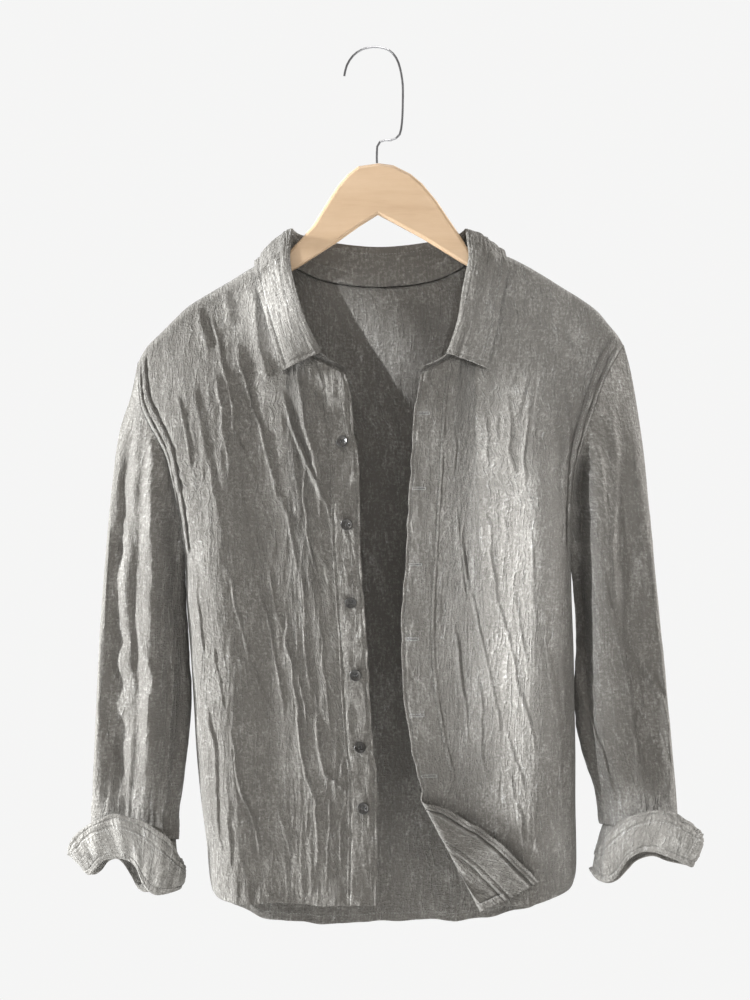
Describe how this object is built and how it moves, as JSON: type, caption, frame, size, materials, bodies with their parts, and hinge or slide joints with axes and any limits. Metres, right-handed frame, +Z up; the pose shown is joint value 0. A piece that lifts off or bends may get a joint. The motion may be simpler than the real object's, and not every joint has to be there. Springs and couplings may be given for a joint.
{
  "type": "crumpled shirt on a hanger",
  "caption": "Open-fronted long-sleeved crinkled linen shirt with turned-back cuffs, hung on a flat wooden hanger with a bent wire hook.",
  "frame": {"origin": "inside of the top of the hanger's hook, where it bears on what it hangs from", "axes": "+Z up, -Y the front of the shirt, +X towards the wearer's left"},
  "size_m": [0.6647, 0.1184, 0.9206],
  "materials": {
    "linen": "matt crinkled grey melange linen",
    "horn": "dark horn-look, satin",
    "beech": "pale, thinly lacquered",
    "wire": "bright plated steel wire"
  },
  "bodies": {
    "root": {"front_right": "linen", "front_left": "linen", "button_band": "linen", "buttonhole_band": "linen", "back": "linen", "collar_stand": "linen", "collar_leaf": "linen", "sleeve_right": "linen", "sleeve_left": "linen", "cuff_right": "linen", "cuff_left": "linen", "button_1": "horn", "button_2": "horn", "button_3": "horn", "button_4": "horn", "button_5": "horn", "button_6": "horn", "hanger_wood": "beech", "hanger_hook": "wire"}
  },
  "joints": []
}
